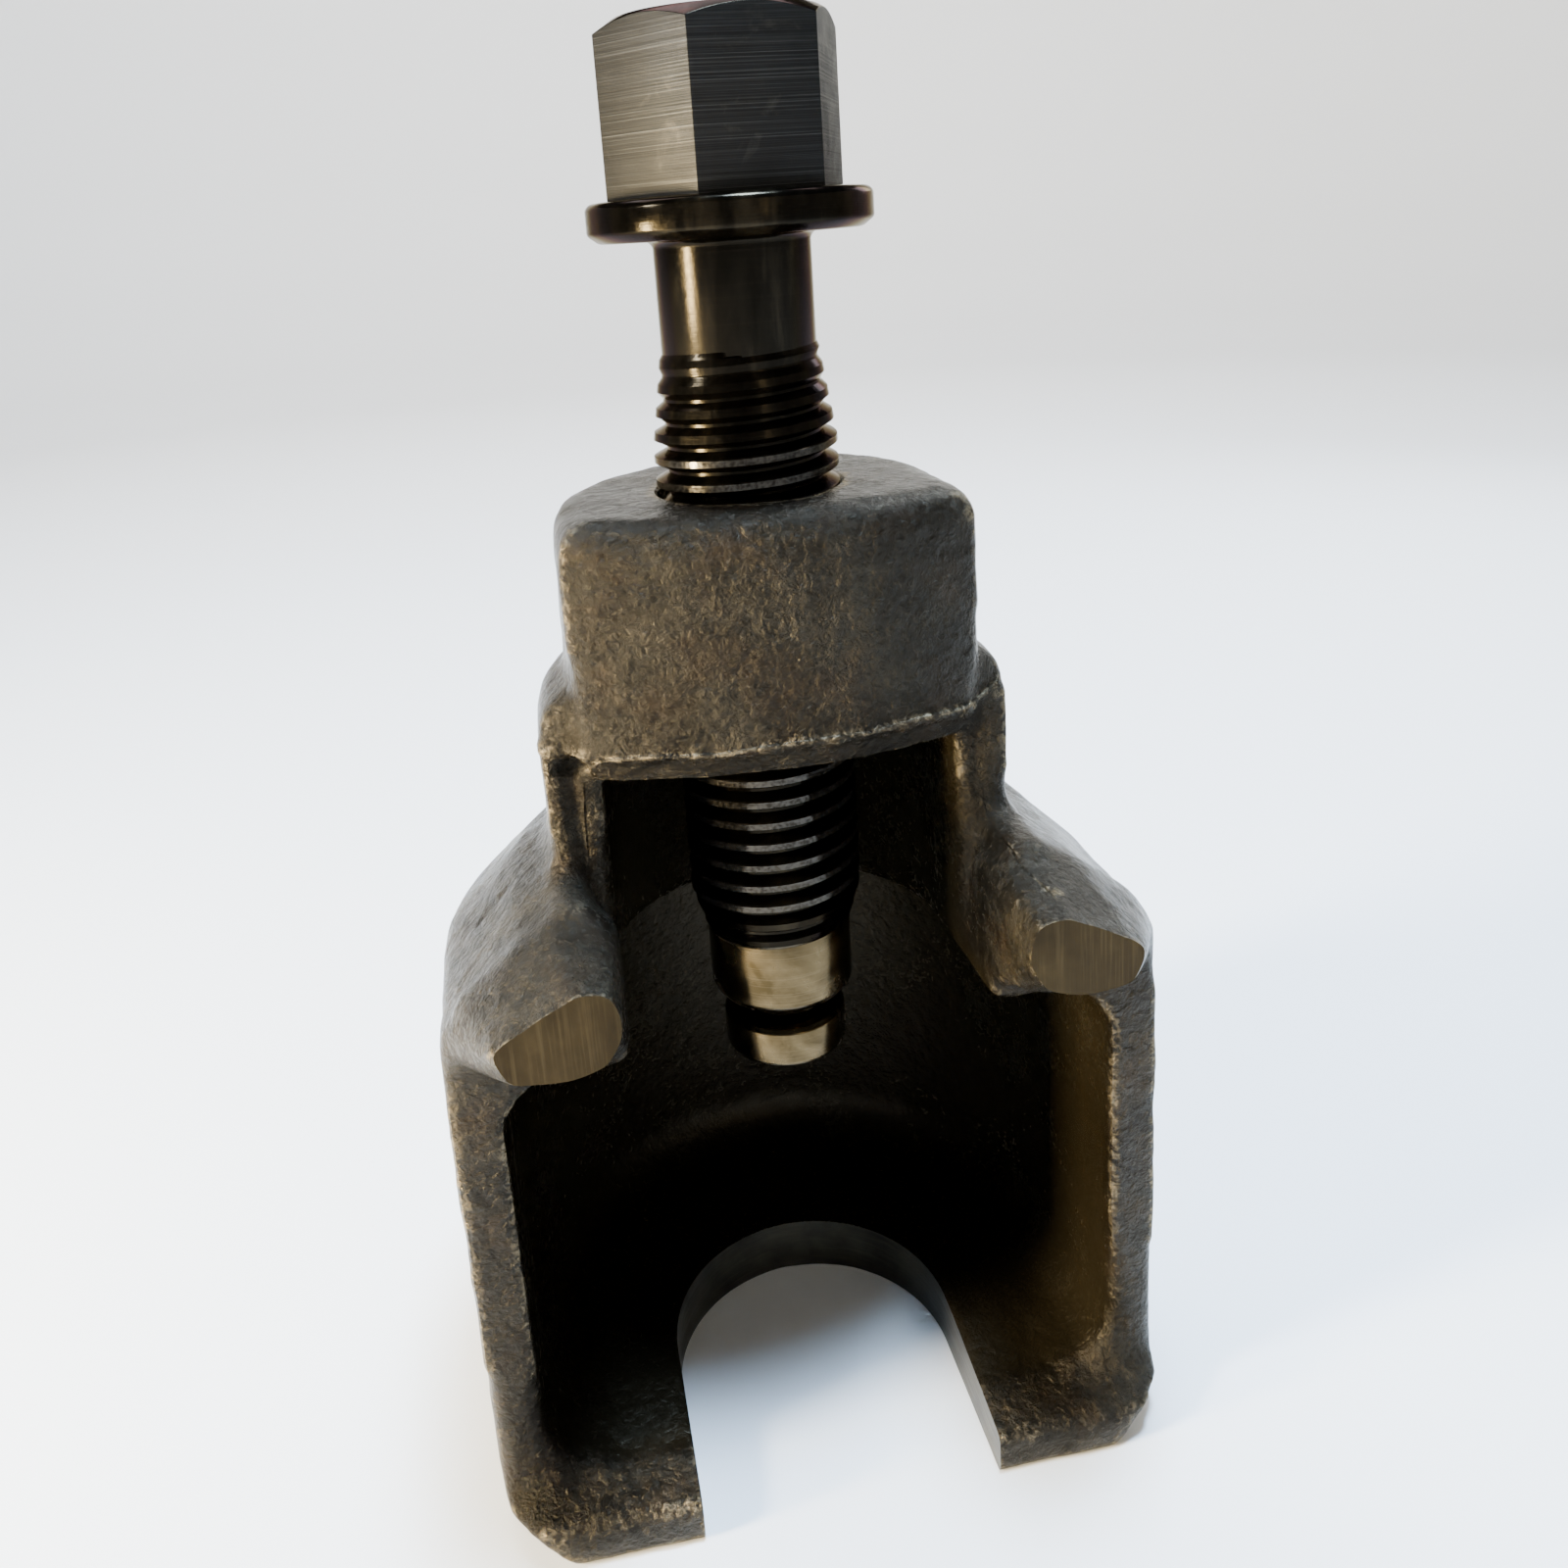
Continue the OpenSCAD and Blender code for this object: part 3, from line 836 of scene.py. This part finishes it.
def give_faces(piece, slot, chosen):
    """Puts the faces chosen by their middle and direction into a material slot."""
    for face in piece.data.polygons:
        if chosen(face.center, face.normal):
            face.material_index = slot


def on_lug_face(middle, outward):
    return middle.y < LUG_FACE_Y + 0.02 * MM and outward.y < -0.99


def on_slot_wall(middle, outward):
    if middle.z > FORK_THICKNESS + MM or abs(outward.z) > 0.2:
        return False
    if middle.y > SLOT_CENTRE_Y + SLOT_RADIUS + MM:
        return False
    if middle.y < SLOT_CENTRE_Y:
        return abs(abs(middle.x) - SLOT_RADIUS) < 0.05 * MM
    return abs(math.hypot(middle.x, middle.y - SLOT_CENTRE_Y) - SLOT_RADIUS) < 0.05 * MM


def on_hexagon_flat(middle, outward):
    return middle.z > HEX_BASE + 0.2 * MM and abs(outward.z) < 0.35


def on_nose(middle, outward):
    return middle.z < THREAD_START


housing = forge_housing()
screw = forcing_screw()
pad = thrust_pad()

dress(housing, forged_skin(), ground_face(), milled_slot())
give_faces(housing, 1, on_lug_face)
give_faces(housing, 2, on_slot_wall)
polished = polished_pad()
dress(screw, black_oxide(), milled_hexagon(), polished)
give_faces(screw, 1, on_hexagon_flat)
give_faces(screw, 2, on_nose)
dress(pad, polished)
dress(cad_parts["bearing_ball"], bright_steel("ball_steel", 0.08))
dress(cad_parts["retaining_ring"], bright_steel("ring_wire", 0.22))

for piece, body, node, finish in (
        (housing, "body", "housing", "forged_steel"),
        (screw, "screw", "forcing_screw", "blackened_steel"),
        (pad, "pad", "thrust_pad", "pad_steel")):
    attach(piece, body)
    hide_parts(node)


# ---------------------------------------------------------------- studio
def pale_paper():
    bench = Bench("pale_paper")
    return bench.coat_with((0.82, 0.82, 0.815, 1), 0.75, 0.0)


def backdrop():
    """A floor whose rim curves up into a low wall all round."""
    begin()
    bpy.ops.mesh.primitive_circle_add(vertices=96, radius=1.1, location=(0, 0, 0), fill_type="NGON")
    floor = named("studio_floor")
    bpy.ops.object.mode_set(mode="EDIT")
    radius = 1.1
    height = 0
    rim = ((1.25, 0.02), (1.38, 0.09), (1.46, 0.2), (1.5, 0.35), (1.52, 0.75))
    for next_radius, next_height in rim:
        bpy.ops.mesh.select_mode(type="EDGE")
        bpy.ops.mesh.extrude_edges_move(TRANSFORM_OT_translate={"value": (0, 0, next_height - height)})
        scale = next_radius / radius
        bpy.ops.transform.resize(value=(scale, scale, 1), center_override=(0, 0, next_height))
        radius, height = next_radius, next_height
    bpy.ops.object.mode_set(mode="OBJECT")
    bpy.ops.object.shade_smooth()
    dress(floor, pale_paper())


def lamp(name, kind, place, power, colour, aim=(0, 0, 0.07), **settings):
    light = bpy.data.lights.new(name, kind)
    light.energy = power
    light.color = colour
    for key, value in settings.items():
        setattr(light, key, value)
    holder = bpy.data.objects.new(name, light)
    bpy.context.scene.collection.objects.link(holder)
    holder.location = place
    ahead = Vector(aim) - holder.location
    holder.rotation_euler = ahead.to_track_quat("-Z", "Y").to_euler()
    holder.visible_camera = False


def light_studio():
    world = bpy.data.worlds.new("studio_air")
    bpy.context.scene.world = world
    world.use_nodes = True
    world.node_tree.nodes["Background"].inputs["Color"].default_value = (0.95, 0.97, 1.0, 1)
    world.node_tree.nodes["Background"].inputs["Strength"].default_value = 0.15
    lamp("overhead", "SUN", (-0.25, 0.6, 1.0), 0.6, (1, 0.995, 0.985), angle=math.radians(30))
    lamp("back_paper", "AREA", (0, 0.6, 0.95), 20, (1, 1, 1), size=0.9, aim=(0, 1.0, 0.1))
    lamp("left_window", "AREA", (-0.5, -0.12, 0.34), 8, (1, 0.96, 0.86), size=0.09)
    lamp("low_left", "AREA", (-0.36, -0.08, 0.055), 10, (1, 0.80, 0.46),
         shape="RECTANGLE", size=0.05, size_y=0.09)
    lamp("top_sky", "AREA", (0.05, -0.04, 0.6), 15, (0.52, 0.72, 1), size=0.12)
    lamp("front_strip", "AREA", (0.18, -0.55, 0.22), 0.32, (1, 0.84, 0.56),
         shape="RECTANGLE", size=0.04, size_y=0.3)
    lamp("back_rim", "AREA", (0.42, 0.35, 0.3), 1.5, (0.8, 0.9, 1), size=0.2)


backdrop()
light_studio()
